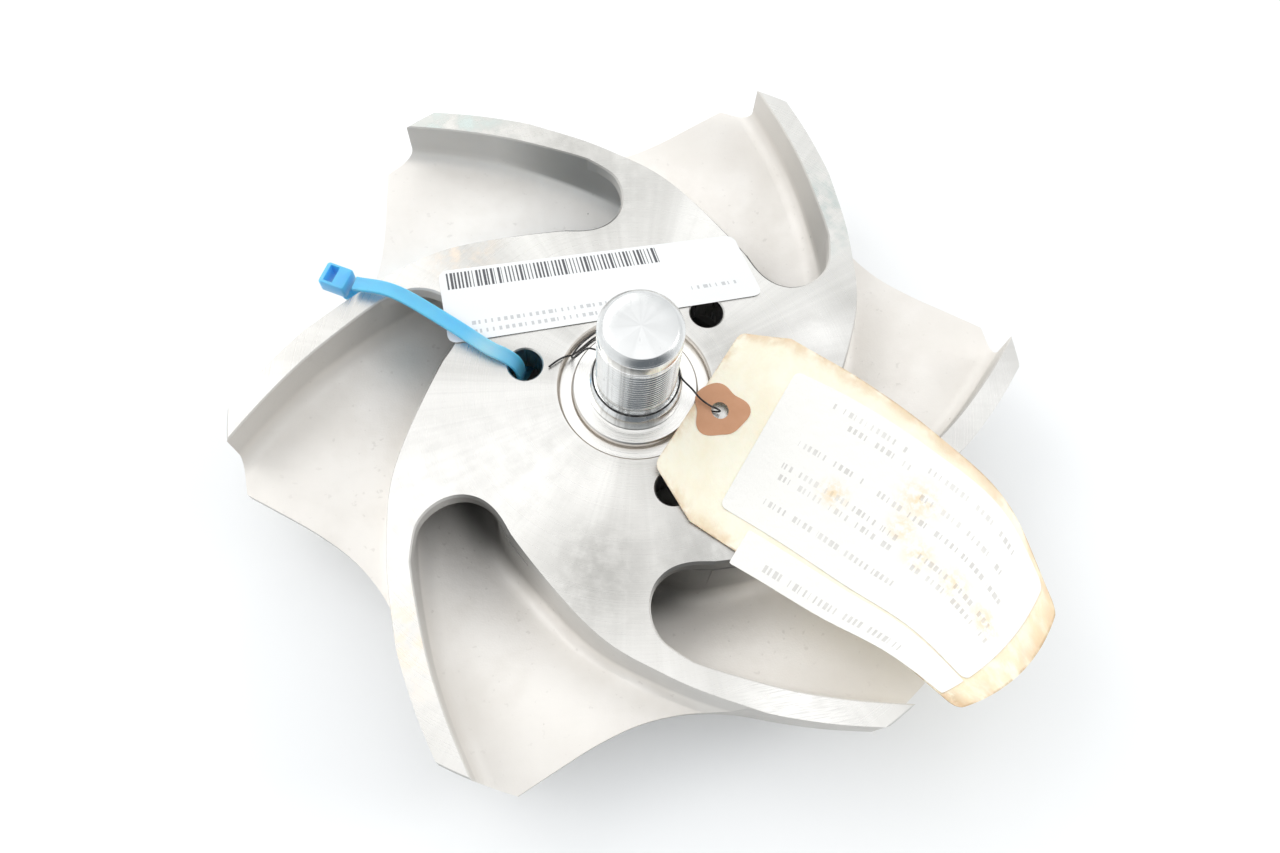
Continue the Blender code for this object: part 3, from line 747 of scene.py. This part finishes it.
def casting_profile():
    """Half a section of the blank as (radius, height, finish of the surface that follows)."""
    face, cast, ground = range(3)
    socket = STUD_RADIUS + CLEARANCE
    edge = CRISP_EDGE
    turned_depths = [(0, STUD_SOCKET_DEPTH), (socket, STUD_SOCKET_DEPTH), (socket, BOSS_DEPTH)]
    turned_depths += [(BOSS_RADIUS - edge, BOSS_DEPTH), (BOSS_RADIUS, BOSS_DEPTH + edge)]
    turned_depths += [(BOSS_RADIUS, RECESS_DEPTH - edge), (BOSS_RADIUS + edge, RECESS_DEPTH)]
    turned_depths += [(RECESS_RADIUS - edge, RECESS_DEPTH), (RECESS_RADIUS, RECESS_DEPTH - edge)]
    turned_depths += [(RECESS_RADIUS, edge), (RECESS_RADIUS + edge, 0), (IMPELLER_RADIUS - edge, 0)]
    points = [(radius, rear(depth), face) for radius, depth in turned_depths]
    points += [(IMPELLER_RADIUS, rear(depth), ground) for depth in (edge, RIM_DEPTH - edge)]
    points.append((IMPELLER_RADIUS - edge, rear(RIM_DEPTH), cast))
    steps = 28
    for step in range(1, steps):
        radius = IMPELLER_RADIUS + (EYE_RING_RADIUS - IMPELLER_RADIUS) * step / steps
        points.append((radius, front_height(radius), cast))
    root = front_height(EYE_RING_RADIUS + 2.2 * MM)
    points += [
        (EYE_RING_RADIUS + 0.5 * MM, root - 1.0 * MM, cast),
        (EYE_RING_RADIUS, root - 1.8 * MM, face),
        (EYE_RING_RADIUS, edge, face),
        (EYE_RING_RADIUS - edge, 0, face),
        (EYE_RADIUS + 2 * edge, 0, face),
        (EYE_RADIUS, 2 * edge, cast),
    ]
    # The annular suction cavity, from the eye's bore over its ceiling to the nose
    rise = CAVITY_SPRING - CAVITY_CEILING
    cavity_centre = (EYE_RADIUS + HUB_NOSE_RADIUS) / 2
    half_width = EYE_RADIUS - cavity_centre
    for step in range(19):
        angle = math.radians(10 * step)
        height = rear(CAVITY_SPRING - rise * math.sin(angle))
        points.append((cavity_centre + half_width * math.cos(angle), height, cast))
    nose_height = HUB_NOSE_DEPTH - CAVITY_SPRING
    for step in range(1, 16):
        angle = math.radians(90 - 6 * step)
        height = rear(CAVITY_SPRING + nose_height * math.cos(angle))
        points.append((HUB_NOSE_RADIUS * math.sin(angle), height, cast))
    points[-1] = (0, points[-1][1], cast)
    return points


def quarter(corner, radius, start, steps):
    """Points on a quarter circle round a corner's centre, as (offset, height) pairs."""
    x, z = corner
    angles = [math.radians(start + 90 * i / steps) for i in range(steps + 1)]
    return [(x + radius * math.cos(a), z + radius * math.sin(a)) for a in angles]


def passage_ring(concave, convex, top, is_open, draft):
    """One closed section across a passage, between a point on each wall."""
    across = convex - concave
    width = across.length
    left = min(CONCAVE_FILLET, width / 3)
    right = min(CONVEX_FILLET, width / 3)
    if is_open:
        concave_top = [(-CRISP_EDGE - RISE, top + RISE), (0, top - CRISP_EDGE), (0, top - 2 * CRISP_EDGE)]
        convex_top = [(width, top - 1.8 * SOFT_EDGE), (width + 0.25 * SOFT_EDGE, top - 0.75 * SOFT_EDGE)]
        convex_top.append((width + SOFT_EDGE + RISE, top + RISE))
    else:
        corner = 2.4 * MM
        concave_top = [(corner, top), (0.3 * corner, top - 0.3 * corner), (0, top - corner)]
        convex_top = [(width, top - corner), (width - 0.3 * corner, top - 0.3 * corner)]
        convex_top.append((width - corner, top))
    inner_right = width - draft - right
    on_floor = [(left + (inner_right - left) * step / FLOOR_STEPS, 0) for step in range(1, FLOOR_STEPS)]
    feet = quarter((left, left), left, 180, FILLET_STEPS) + on_floor
    feet += quarter((inner_right, right), right, 270, FILLET_STEPS)
    bottom = [(x, floor_height((concave + across * (x / width)).length) + z) for x, z in feet]
    section = concave_top + bottom + convex_top
    return [Vector((*(concave + across * (x / width)), z)) for x, z in section]


def passage_cutter(index, finish):
    """The whole passage: open to the rear outside the hub disc, and a tunnel to the eye under it."""
    walls = list(zip(smooth_curve(CONCAVE_SIDE, PASSAGE_STEPS), smooth_curve(CONVEX_SIDE, PASSAGE_STEPS)))
    last_open = LAST_OPEN_STATION * PASSAGE_STEPS
    stations = [(*pair, 0, CONVEX_DRAFT) for pair in walls[: last_open + 1]]
    # The ceiling starts with an upright step, just past the last open section
    tunnel = walls[last_open + 1 :]
    left, right = (a.lerp(b, 0.02) for a, b in zip(walls[last_open], tunnel[0]))
    stations.append((left, right, DISC_EDGE_THICKNESS, CONVEX_DRAFT))
    for number, pair in enumerate(tunnel, 1):
        share = number / len(tunnel)
        ceiling = DISC_EDGE_THICKNESS + (CAVITY_CEILING - DISC_EDGE_THICKNESS) * share
        stations.append((*pair, ceiling, CONVEX_DRAFT * (1 - share)))
    rings = []
    for concave, convex, top, draft in stations:
        rings.append(passage_ring(turned(concave, index), turned(convex, index), rear(top), top == 0, draft))
    return add_cutter(f"passage_cutter_{index + 1}", rings, finish)


def hole_cutter(number, degrees, finish):
    """An upright hole through the hub disc, flared where it breaks the rear face."""
    centre = on_circle(HOLE_CIRCLE_RADIUS, degrees).to_2d()
    levels = [(HOLE_RADIUS, rear(30 * MM)), (HOLE_RADIUS, rear(CRISP_EDGE))]
    levels += [(HOLE_RADIUS + CRISP_EDGE + RISE, rear(-RISE))]
    return add_cutter(f"hole_cutter_{number}", circles(levels, HOLE_STEPS, centre), finish)


def grown(outline, distances):
    """A closed outline, listed clockwise, with each point moved outwards by its distance."""
    moved = []
    for number, (point, distance) in enumerate(zip(outline, distances)):
        along = outline[(number + 1) % len(outline)] - outline[number - 1]
        moved.append(point + Vector((-along.y, along.x)).normalized() * distance)
    return moved


def opening_end_cutter(index, finish):
    """What ends a passage's opening in the rear face with a round edge."""
    before_end = LAST_OPEN_STATION * PASSAGE_STEPS - 3
    concave, convex = (smooth_curve(side, PASSAGE_STEPS)[before_end] for side in (CONCAVE_SIDE, CONVEX_SIDE))
    outline = [concave, *smooth_curve(OPENING_END, 6), convex, Vector(OPENING_POINT)]
    outline = [turned(point, index) for point in outline]
    edges = [CRISP_EDGE + (SOFT_EDGE - CRISP_EDGE) * i / len(outline) for i in range(len(outline))]
    rings = [[(*point, rear(2 * DISC_EDGE_THICKNESS)) for point in outline]]
    rings.append([(*point, rear(edge)) for point, edge in zip(outline, edges)])
    rings.append([(*point, rear(-RISE)) for point in grown(outline, [edge + RISE for edge in edges])])
    return add_cutter(f"opening_end_cutter_{index + 1}", rings, finish)


def scallop_cutter(index, finish):
    """What is cut away of the shroud between two vanes, and of the next vane's convex side."""
    edge = smooth_curve(SCALLOP_EDGE, 10)
    outline = [turned(point, index) for point in [*edge, *map(Vector, SCALLOP_OUTSIDE)]]
    levels = [(0, rear(60 * MM)), (0, rear(SOFT_EDGE)), (0.25 * SOFT_EDGE, rear(0.3 * SOFT_EDGE))]
    levels += [(SOFT_EDGE + RISE, rear(-RISE))]
    rings = [[(*p, height) for p in grown(outline, [-flare] * len(outline))] for flare, height in levels]
    return add_cutter(f"scallop_cutter_{index + 1}", rings, finish)


def make_casting(face, cast, ground):
    profile = casting_profile()
    rings = circles([level[:2] for level in profile], TURNED_STEPS)
    points, faces = loft(rings, capped=False)
    slots = [profile[row][2] for row in range(len(profile) - 1) for _ in range(TURNED_STEPS)]
    casting = add_piece("casting", points, faces, [face, cast, ground], slots)
    cutters = []
    for index in range(VANES):
        cutters.append(passage_cutter(index, cast))
        cutters.append(opening_end_cutter(index, cast))
        cutters.append(scallop_cutter(index, ground))
    cutters += [hole_cutter(number, degrees, face) for number, degrees in enumerate(HOLE_ANGLES, 1)]
    cut_away(casting, cutters)
    return finished(casting, "cast_stainless_steel", "impeller_casting")


# The stud


def thread_radius(height, degrees, low, high):
    """The radius of a rounded thread that fades out at both ends."""
    turn = (height / THREAD_PITCH - degrees / 360) % 1
    groove = 0.5 + 0.5 * math.cos(2 * math.pi * turn)
    groove = groove**1.4
    fade = min(1, max(0, min(height - low, high - height) / THREAD_PITCH))
    return STUD_RADIUS - THREAD_DEPTH * groove * fade


def make_stud(bright):
    seat = rear(BOSS_DEPTH) + CLEARANCE
    top = rear(-STUD_HEIGHT)
    collar_top = seat + COLLAR_HEIGHT
    thread_low = collar_top + THREAD_ABOVE_COLLAR
    thread_high = top - THREAD_BELOW_TOP
    levels = metres(STUD_FROM_BOTTOM, rear(STUD_SOCKET_DEPTH) + CLEARANCE)
    levels += metres(STUD_FROM_SEAT, seat)
    levels += metres(STUD_FROM_COLLAR, collar_top)
    levels += metres(STUD_FROM_THREAD_START, thread_low)
    rings = circles(levels, STUD_STEPS)
    rows = round((thread_high - thread_low) / THREAD_PITCH * THREAD_ROWS)
    angles = [360 * i / STUD_STEPS for i in range(STUD_STEPS)]
    for row in range(rows + 1):
        height = thread_low + (thread_high - thread_low) * row / rows
        radii = [thread_radius(height, angle, thread_low, thread_high) for angle in angles]
        rings.append([on_circle(radius, angle, height) for radius, angle in zip(radii, angles)])
    rings += circles(metres(STUD_FROM_THREAD_END, thread_high) + metres(STUD_FROM_TOP, top), STUD_STEPS)
    stud = add_piece("stud", *loft(rings, capped=False), [bright], sharp=38)
    return finished(stud, "machined_steel", "threaded_stud")


# The cable tie


def strap_section(number):
    """The strap's section in (width, thickness): a smooth outer side with rails and a toothed inner side."""
    half, thick = (side / 2 for side in STRAP_SIZE)
    groove = -thick + (STRAP_TOOTH if number % 2 else 0.0) + 0.05
    section = [(-half + 0.2, -thick), (-1.5, -thick), (-1.4, groove), (1.4, groove), (1.5, -thick)]
    section += [(half - 0.2, -thick), (half, -thick + 0.25), (half, thick - 0.25), (half - 0.2, thick)]
    section += [(half - 0.9, thick), (half - 1.1, thick - 0.12), (-half + 1.1, thick - 0.12)]
    section += [(-half + 0.9, thick), (-half + 0.2, thick), (-half, thick - 0.25), (-half, -thick + 0.25)]
    return metres(section)


def make_strap(nylon):
    fine = 60
    centres = smooth_curve([above_face(place) for place, width in TIE_ROUTE], fine)
    widths = smooth_curve([width for place, width in TIE_ROUTE], fine)
    kept = [0]
    for number, centre in enumerate(centres):
        if (centre - centres[kept[-1]]).length >= 0.5 * MM:
            kept.append(number)
    rings = []
    for number, at in enumerate(kept):
        along = (centres[min(at + 1, len(centres) - 1)] - centres[max(at - 1, 0)]).normalized()
        outward = along.cross(widths[at]).normalized()
        side = outward.cross(along).normalized()
        rings.append([centres[at] + side * x + outward * z for x, z in strap_section(number)])
    strap = add_piece("strap", *loft(rings), [nylon], sharp=50)
    return finished(strap, "blue_nylon", "tie_strap")


def rounded_box(size, corner, steps=4):
    """Rings of a box with rounded upright edges and softened ends, as a loft along its height."""
    x, y, z = (side / 2 for side in size)
    rings = []
    for inset, height in ((corner, -z), (0.3 * corner, -z + 0.3 * corner), (0, -z + corner)):
        rings.append(rounded_rectangle(x - inset, y - inset, corner, steps, height))
    return rings + [[Vector((p.x, p.y, -p.z)) for p in ring] for ring in reversed(rings)]


def rounded_rectangle(x, y, corner, steps, height):
    ring = []
    for number, (sx, sy) in enumerate(((1, 1), (-1, 1), (-1, -1), (1, -1))):
        for step in range(steps + 1):
            angle = math.radians(90 * (number + step / steps))
            middle = Vector((sx * (x - corner), sy * (y - corner), height))
            ring.append(middle + corner * Vector((math.cos(angle), math.sin(angle), 0)))
    return ring


def make_head(nylon):
    """The tie's head: a rounded block with the slot cut through it, widening towards the top."""
    head = add_piece("head", *loft(rounded_box(TIE_HEAD_SIZE, 0.9 * MM)), [nylon])
    x, y, z = TIE_HEAD_SIZE
    pocket_rings = []
    for height, grow in ((-z, 0), (z * 0.25, 0), (z * 0.5, 0.35 * MM), (z, 0.8 * MM)):
        ring = rounded_rectangle(1.25 * MM + grow, 2.6 * MM + grow, 0.3 * MM, 3, height)
        pocket_rings.append([p + Vector((-1.3 * MM, 0, 0)) for p in ring])
    pocket = add_cutter("slot_cutter", pocket_rings, nylon)
    cut_away(head, [pocket], sharp=40)
    turn = Matrix.Rotation(math.radians(TIE_HEAD_TURN), 4, "Z")
    head.matrix_world = Matrix.Translation(above_face(TIE_HEAD_CENTRE)) @ turn
    return finished(head, "blue_nylon", "tie_head")


# The wire


def wire_route():
    """The wire's centre line: its tail, its turns round the stud and its lead to the tag."""
    start, end = WIRE_WRAP
    low, high = WIRE_WRAP_HEIGHTS
    turns = []
    for number in range(WIRE_WRAP_POINTS):
        share = number / (WIRE_WRAP_POINTS - 1)
        place = on_circle(WIRE_WRAP_RADIUS, start + (end - start) * share)
        turns.append(place + above_face((0, 0, low + (high - low) * share)))
    points = [*map(above_face, WIRE_TAIL), *turns, *map(above_face, WIRE_LEAD)]
    return smooth_curve(points, 8)


def make_wire(black):
    curve = bpy.data.curves.new("wire", "CURVE")
    curve.dimensions = "3D"
    curve.bevel_depth = WIRE_DIAMETER / 2
    curve.bevel_resolution = 3
    curve.use_fill_caps = True
    spline = curve.splines.new("POLY")
    route = evenly_spaced(wire_route(), WIRE_POINT_SPACING)
    spline.points.add(len(route) - 1)
    for point, place in zip(spline.points, route):
        point.co = (*place, 1)
    curve.materials.append(black)
    wire = add_object("wire", curve)
    length = sum((b - a).length for a, b in zip(route, route[1:]))
    return finished(wire, "black_wire", "tag_wire"), route[0], length


# The paper


def add_sheet(name, rows, columns, place, size_mm, thickness, finish):
    """A thin sheet. place(u, v) gives the middle of its underside, for u over and v up from 0 to 1.

    Its UV map holds millimetres, and its edge attribute the distance to the nearest edge in millimetres.
    """
    width, height = size_mm
    under = [[place(i / columns, j / rows) for i in range(columns + 1)] for j in range(rows + 1)]
    points = [p for row in under for p in row]
    count = len(points)
    lift = Vector((0, 0, thickness))
    points += [p + lift for p in points]
    line = columns + 1
    faces = []
    for j in range(rows):
        for i in range(columns):
            a = j * line + i
            faces.append((a, a + line, a + line + 1, a + 1))
            faces.append((count + a, count + a + 1, count + a + line + 1, count + a + line))
    border = list(range(columns))
    border += [columns + j * line for j in range(rows)]
    border += [rows * line + i for i in range(columns, 0, -1)]
    border += [j * line for j in range(rows, 0, -1)]
    for a, b in zip(border, border[1:] + border[:1]):
        faces.append((a, b, count + b, count + a))
    mesh = bpy.data.meshes.new(name)
    mesh.from_pydata([tuple(p) for p in points], [], faces)
    mesh.materials.append(finish)
    shares = [(i / columns, j / rows) for j in range(rows + 1) for i in range(columns + 1)] * 2
    edge = mesh.attributes.new("edge", "FLOAT", "POINT")
    for item, (u, v) in zip(edge.data, shares):
        item.value = min(u * width, (1 - u) * width, v * height, (1 - v) * height)
    layer = mesh.uv_layers.new(name="millimetres")
    for loop in mesh.loops:
        u, v = shares[loop.vertex_index]
        layer.data[loop.index].uv = (u * width, v * height)
    piece = add_object(name, mesh)
    shade(piece, 60)
    return piece


def rounded_share(u, v, width, height, radius):
    """Moves a point near a corner of a rectangle onto the corner's arc."""
    x, y = u * width, v * height
    cx = min(max(x, radius), width - radius)
    cy = min(max(y, radius), height - radius)
    away = Vector((x - cx, y - cy))
    if away.length > radius:
        away = away.normalized() * radius
        x, y = cx + away.x, cy + away.y
    return x / width, y / height


def make_label(paper):
    """The bar label, lying on the rear face."""
    corners = [Vector(corner) for corner in LABEL_CORNERS]

    def place(u, v):
        u, v = rounded_share(u, v, *LABEL_SIZE, CORNER_RADIUS)
        plan = corners[0].lerp(corners[1], u).lerp(corners[3].lerp(corners[2], u), v)
        ripple = noise.noise(Vector((plan.x * 0.05, plan.y * 0.08, 3))) * 0.12
        return above_face((*plan, 0.36 + ripple))

    label = add_sheet("bar_label", 30, 110, place, LABEL_SIZE, PAPER_THICKNESS, paper)
    return finished(label, "white_paper", "face_label")


def tag_side(points):
    """One side of the tag: straight past the clipped corner, then curved."""
    first, second = map(Vector, points[:2])
    straight = [first.lerp(second, i / TAG_STEPS) for i in range(TAG_STEPS)]
    return straight + smooth_curve(points[1:], TAG_STEPS)


tag_sides = (tag_side(TAG_LEFT), tag_side(TAG_RIGHT))


def tag_plan(along, across):
    """A plan point of the tag in millimetres. along runs from the hole end, across from the left edge."""
    place = min(max(along, 0), 1) * (len(tag_sides[0]) - 1)
    row = min(int(place), len(tag_sides[0]) - 2)
    left, right = (side[row].lerp(side[row + 1], place - row) for side in tag_sides)
    outward = Vector(((right - left).y, (left - right).x)).normalized()
    return left.lerp(right, across) + outward * TAG_END_BOW * 4 * across * (1 - across) * along**4


def tag_surface(along, across):
    """A point of the tag's underside."""
    curl = max(0, (along - TAG_CURL_START) / (1 - TAG_CURL_START)) ** 2
    lift = max(0, 1 - along / TAG_LIFT_END) ** 2
    plan = tag_plan(along, across)
    ripple = noise.noise(Vector((plan.x * 0.035, plan.y * 0.035, 11))) * 0.35 * MM
    height = rear(0) + 2 * CLEARANCE + TAG_CURL * curl + TAG_LIFT * lift + ripple
    return Vector((*plan * MM, height))


def along_tag(plan):
    """How far along the tag a plan point lies."""
    low, high = 0.0, 1.0
    for _ in range(24):
        middle = (low + high) / 2
        left = tag_plan(middle, 0)
        row = tag_plan(middle, 1) - left
        if row.cross(plan - left) < 0:
            low = middle
        else:
            high = middle
    return (low + high) / 2


def make_tag(card, patch_finish, typed, strip):
    def tag_place(u, v):
        u, v = rounded_share(u, v, *TAG_SIZE, CORNER_RADIUS)
        return tag_surface(v, u)

    tag = add_sheet("manila_tag", 110, 60, tag_place, TAG_SIZE, CARD_THICKNESS, card)
    centre = Vector(TAG_HOLE_CENTRE)
    levels = [(TAG_HOLE_RADIUS, rear(2 * MM)), (TAG_HOLE_RADIUS, rear(-12 * MM))]
    hole_rings = circles(levels, 48, centre * MM)
    cut_away(tag, [add_cutter("tag_hole_cutter", hole_rings, card)], "EXACT", 60)
    finished(tag, "manila_card", "shipping_tag")

    def patch_place(u, v):
        angle = 360 * u
        blob = 8.6 + 0.9 * math.cos(math.radians(3 * angle + 40)) + 0.5 * math.cos(math.radians(5 * angle))
        inner = TAG_HOLE_RADIUS / MM
        plan = centre + on_circle(inner + (blob - inner) * v, angle).to_2d()
        spot_height = tag_surface(along_tag(plan), 0.5).z
        return Vector((*plan * MM, spot_height + 0.5 * MM))

    rings = [[patch_place(i / 72, j / 10) for i in range(72)] for j in range(11)]
    lifted = [[p + Vector((0, 0, 0.16 * MM)) for p in ring] for ring in reversed(rings)]
    points, faces = loft([*rings, *lifted, rings[0]], capped=False)
    patch = add_piece("hole_patch", points, faces, [patch_finish], sharp=60)
    finished(patch, "brown_patch", "tag_hole_patch")

    def on_tag(row_range, first_across, last_across, corner, size, seed):
        low, high = row_range

        def place(u, v):
            u, v = rounded_share(u, v, *size, corner)
            left, right = Vector(first_across).lerp(Vector(last_across), v)
            point = tag_surface(low + (high - low) * v, left + (right - left) * u)
            crinkle = abs(noise.noise(Vector((point.x * 260, point.y * 260, seed)))) * 0.25 * MM
            return point + Vector((0, 0, 0.52 * MM + crinkle))

        return place

    paper_place = on_tag((0.25, 0.95), (0.13, 0.87), (0.17, 0.97), 2.2, PAPER_SIZE, 5)
    paper = add_sheet("paper_label", 90, 50, paper_place, PAPER_SIZE, PAPER_THICKNESS, typed)
    finished(paper, "white_paper", "tag_paper_label")
    strip_place = on_tag((0.35, 0.95), (-0.06, 0.11), (0.01, 0.163), 0.5, STRIP_SIZE, 9)
    narrow = add_sheet("strip_label", 80, 12, strip_place, STRIP_SIZE, PAPER_THICKNESS, strip)
    finished(narrow, "white_paper", "tag_strip_label")
    return patch


# The stage


def make_camera():
    camera = add_object("camera", bpy.data.cameras.new("camera"))
    camera.data.sensor_width = 36
    camera.data.lens = 28.0773
    camera.data.clip_start = 0.01
    camera.location = (-0.03312, -0.12550, 0.33945)
    camera.rotation_euler = [math.radians(angle) for angle in (21.5696, -2.6492, -9.4965)]
    bpy.context.scene.camera = camera


def add_softbox(name, place, size, power):
    data = bpy.data.lights.new(name, "AREA")
    data.shape = "RECTANGLE"
    data.size, data.size_y = size
    data.energy = power
    data.color = SOFTBOX_COLOUR
    light = add_object(name, data)
    light.location = place
    light.rotation_euler = (Vector(place) - Vector(SOFTBOX_TARGET)).to_track_quat("Z", "Y").to_euler()


def make_stage():
    corners = [(-FLOOR_REACH, -FLOOR_REACH, 0), (FLOOR_REACH, -FLOOR_REACH, 0)]
    corners += [(FLOOR_REACH, FLOOR_REACH, 0), (-FLOOR_REACH, FLOOR_REACH, 0)]
    floor = add_piece("floor", corners, [(0, 1, 2, 3)], [pale_floor()])
    add_softbox("back_softbox", (-0.5, 1.3, 1.1), (1.6, 1.0), 3.5)
    add_softbox("left_softbox", (-1.2, 0.7, 1.3), (1.2, 1.2), 8)
    add_softbox("right_softbox", (1.1, -0.1, 0.8), (0.5, 0.5), 3)
    world = bpy.data.worlds.new("studio")
    world.use_nodes = True
    background = world.node_tree.nodes["Background"]
    direction = source(world.node_tree, "TexCoord")
    toward = {"output": 1, "operation": "DOT_PRODUCT"}
    toward_top = node("VectorMath", {0: direction, 1: (0.05, -0.1, 0.99)}, **toward)
    toward_front = node("VectorMath", {0: direction, 1: (0.12, -0.93, 0.3)}, **toward)
    colour = blended(between(toward_top, 0.55, 0.95), (0.8, 0.82, 0.83), (1.06, 1.07, 1.08))
    colour = blended(between(toward_front, 0.45, 0.92), colour, (0.13, 0.145, 0.16))
    linked(background.inputs["Color"], colour)
    linked(background.inputs["Strength"], SKY_STRENGTH)
    bpy.context.scene.world = world
    bpy.context.scene.view_settings.view_transform = "Standard"


make_camera()
wire, wire_start, wire_length = make_wire(black_wire())
typed_sheet = typed_paper("typed_paper", PAPER_ROWS, PAPER_STAINS)
strip_sheet = typed_paper("strip_paper", STRIP_ROWS, [])
patch = make_tag(manila_card(), brown_patch(), typed_sheet, strip_sheet)
tuple(wire_start)
make_casting(turned_face(), blasted_cast(), ground_edge())
make_stud(bright_turned())
nylon_finish = blue_nylon()
make_strap(nylon_finish)
make_head(nylon_finish)
make_label(label_paper())
make_stage()
